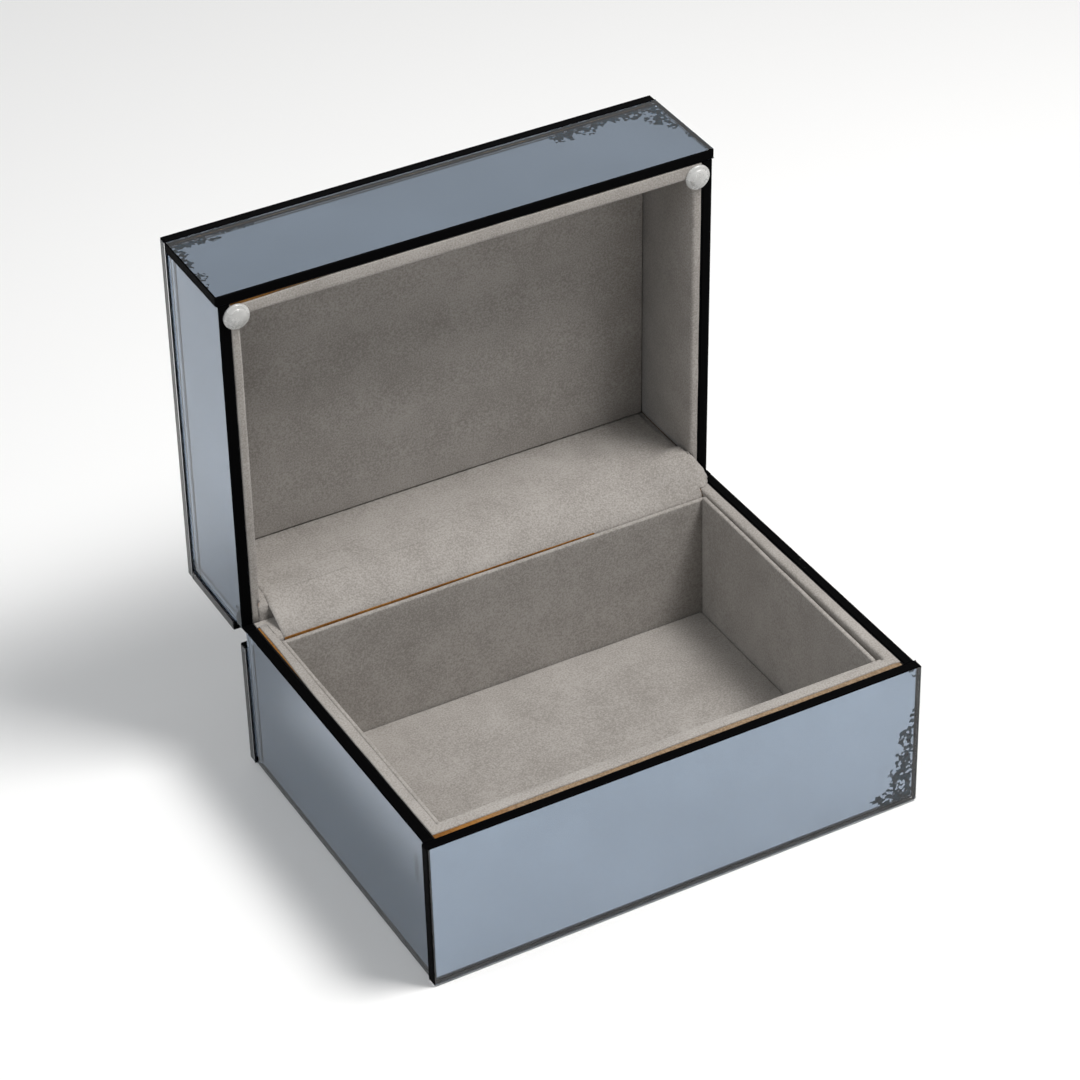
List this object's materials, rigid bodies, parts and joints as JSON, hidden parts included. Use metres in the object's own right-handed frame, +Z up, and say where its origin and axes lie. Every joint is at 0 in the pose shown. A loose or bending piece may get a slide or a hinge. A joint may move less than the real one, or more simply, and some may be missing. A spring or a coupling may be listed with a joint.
{
  "type": "trinket box",
  "caption": "Rectangular trinket box clad in tinted mirror glass, with a suede lining, a deep hinged lid stopped open by a cloth strip, and clear bumpers.",
  "frame": {"origin": "centre of the felt underside, where the box stands on a table", "axes": "+X to the right as seen from the front, +Y to the back where the hinges are, +Z up"},
  "size_m": [0.2, 0.193, 0.2056],
  "materials": {
    "mirror_glass": "blue-grey tinted antique mirror with black cut edges and dark foxing at some corners",
    "board": "raw fibreboard",
    "suede": "pale grey microsuede",
    "felt": "black self-adhesive felt",
    "bumper": "clear polyurethane",
    "brass": "plated brass, slightly dull",
    "steel": "drawn wire"
  },
  "bodies": {
    "base": {"base_felt": "felt", "base_mirror_front": "mirror_glass", "base_mirror_back": "mirror_glass", "base_mirror_left": "mirror_glass", "base_mirror_right": "mirror_glass", "base_board_front": "board", "base_board_back": "board", "base_board_left": "board", "base_board_right": "board", "base_floor_board": "board", "base_rim_wrap": "suede", "base_card_front": "suede", "base_card_back": "suede", "base_card_left": "suede", "base_card_right": "suede", "base_floor_pad": "suede", "hinge_leaves_base": "brass", "hinge_pins": "steel", "hinge_screws_base": "brass"},
    "lid": {"lid_mirror_top": "mirror_glass", "lid_mirror_front": "mirror_glass", "lid_mirror_back": "mirror_glass", "lid_mirror_left": "mirror_glass", "lid_mirror_right": "mirror_glass", "lid_board_top": "board", "lid_board_front": "board", "lid_board_back": "board", "lid_board_left": "board", "lid_board_right": "board", "lid_lining_front": "suede", "lid_lining_left": "suede", "lid_lining_right": "suede", "lid_card_top": "suede", "lid_card_back": "suede", "hinge_strip": "suede", "hinge_leaves_lid": "brass", "hinge_screws_lid": "brass", "bumper_left": "bumper", "bumper_right": "bumper"}
  },
  "joints": [
    {"name": "lid_hinge", "type": "hinge", "parent": "base", "child": "lid", "pos_m": [0, 0.0694, 0.061], "axis": [1, 0, 0], "range_deg": [0, 88.5], "deforming": ["hinge_strip"]}
  ]
}
